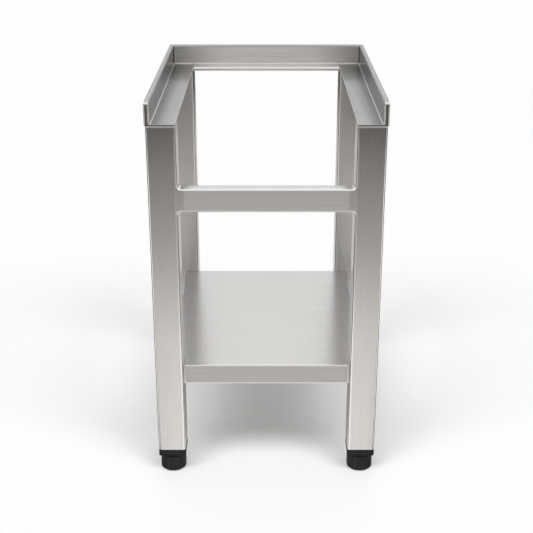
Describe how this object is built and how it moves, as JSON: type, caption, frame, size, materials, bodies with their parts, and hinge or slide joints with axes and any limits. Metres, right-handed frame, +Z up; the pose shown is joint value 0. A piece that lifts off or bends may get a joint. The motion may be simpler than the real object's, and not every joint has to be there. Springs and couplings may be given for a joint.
{
  "type": "outdoor pizza oven table",
  "caption": "Square-tube stand with an open top held by flanged rails on three sides, raised edges, a front crossbar, a folded lower shelf and round screw feet.",
  "frame": {"origin": "middle of the footprint, on the floor, with the feet screwed right in", "axes": "+Z up, -Y the open front with the crossbar, +X to the right seen from the front"},
  "size_m": [0.484, 0.6, 0.85],
  "materials": {
    "stainless_tube": "brushed along the tube, satin",
    "stainless_sheet": "brushed along the sheet, satin",
    "weld_metal": "ground and brushed weld",
    "zinc_steel": "bright zinc plate",
    "black_nylon": "moulded, fine matt texture"
  },
  "bodies": {
    "frame": {"leg_front_left": "stainless_tube", "leg_front_right": "stainless_tube", "leg_rear_left": "stainless_tube", "leg_rear_right": "stainless_tube", "leg_cap_front_left": "stainless_sheet", "leg_cap_front_right": "stainless_sheet", "leg_cap_rear_left": "stainless_sheet", "leg_cap_rear_right": "stainless_sheet", "side_rail_left": "stainless_sheet", "side_rail_right": "stainless_sheet", "rear_rail": "stainless_sheet", "front_crossbar": "stainless_tube", "shelf": "stainless_sheet", "shelf_stiffener": "stainless_sheet", "crossbar_welds": "weld_metal", "shelf_welds": "weld_metal", "foot_insert_front_left": "black_nylon", "foot_insert_front_right": "black_nylon", "foot_insert_rear_left": "black_nylon", "foot_insert_rear_right": "black_nylon", "foot_nut_front_left": "zinc_steel", "foot_nut_front_right": "zinc_steel", "foot_nut_rear_left": "zinc_steel", "foot_nut_rear_right": "zinc_steel"},
    "pad_front_left": {"foot_pad_front_left": "black_nylon"},
    "spindle_front_left": {"foot_spindle_front_left": "zinc_steel"},
    "pad_front_right": {"foot_pad_front_right": "black_nylon"},
    "spindle_front_right": {"foot_spindle_front_right": "zinc_steel"},
    "pad_rear_left": {"foot_pad_rear_left": "black_nylon"},
    "spindle_rear_left": {"foot_spindle_rear_left": "zinc_steel"},
    "pad_rear_right": {"foot_pad_rear_right": "black_nylon"},
    "spindle_rear_right": {"foot_spindle_rear_right": "zinc_steel"}
  },
  "joints": [
    {"name": "foot_front_left_lift", "type": "slide", "parent": "frame", "child": "spindle_front_left", "axis": [0, 0, -1], "range_m": [0, 0.025]},
    {"name": "foot_front_left_turn", "type": "hinge", "parent": "spindle_front_left", "child": "pad_front_left", "pos_m": [-0.21, -0.27, 0.04], "axis": [0, 0, -1], "range_deg": [0, 5142]},
    {"name": "foot_front_right_lift", "type": "slide", "parent": "frame", "child": "spindle_front_right", "axis": [0, 0, -1], "range_m": [0, 0.025]},
    {"name": "foot_front_right_turn", "type": "hinge", "parent": "spindle_front_right", "child": "pad_front_right", "pos_m": [0.21, -0.27, 0.04], "axis": [0, 0, -1], "range_deg": [0, 5142]},
    {"name": "foot_rear_left_lift", "type": "slide", "parent": "frame", "child": "spindle_rear_left", "axis": [0, 0, -1], "range_m": [0, 0.025]},
    {"name": "foot_rear_left_turn", "type": "hinge", "parent": "spindle_rear_left", "child": "pad_rear_left", "pos_m": [-0.21, 0.27, 0.04], "axis": [0, 0, -1], "range_deg": [0, 5142]},
    {"name": "foot_rear_right_lift", "type": "slide", "parent": "frame", "child": "spindle_rear_right", "axis": [0, 0, -1], "range_m": [0, 0.025]},
    {"name": "foot_rear_right_turn", "type": "hinge", "parent": "spindle_rear_right", "child": "pad_rear_right", "pos_m": [0.21, 0.27, 0.04], "axis": [0, 0, -1], "range_deg": [0, 5142]}
  ],
  "couplings": [
    {"joint": "foot_front_left_lift", "follows": "foot_front_left_turn", "m_per_rad": 0.00027852},
    {"joint": "foot_front_right_lift", "follows": "foot_front_right_turn", "m_per_rad": 0.00027852},
    {"joint": "foot_rear_left_lift", "follows": "foot_rear_left_turn", "m_per_rad": 0.00027852},
    {"joint": "foot_rear_right_lift", "follows": "foot_rear_right_turn", "m_per_rad": 0.00027852}
  ]
}
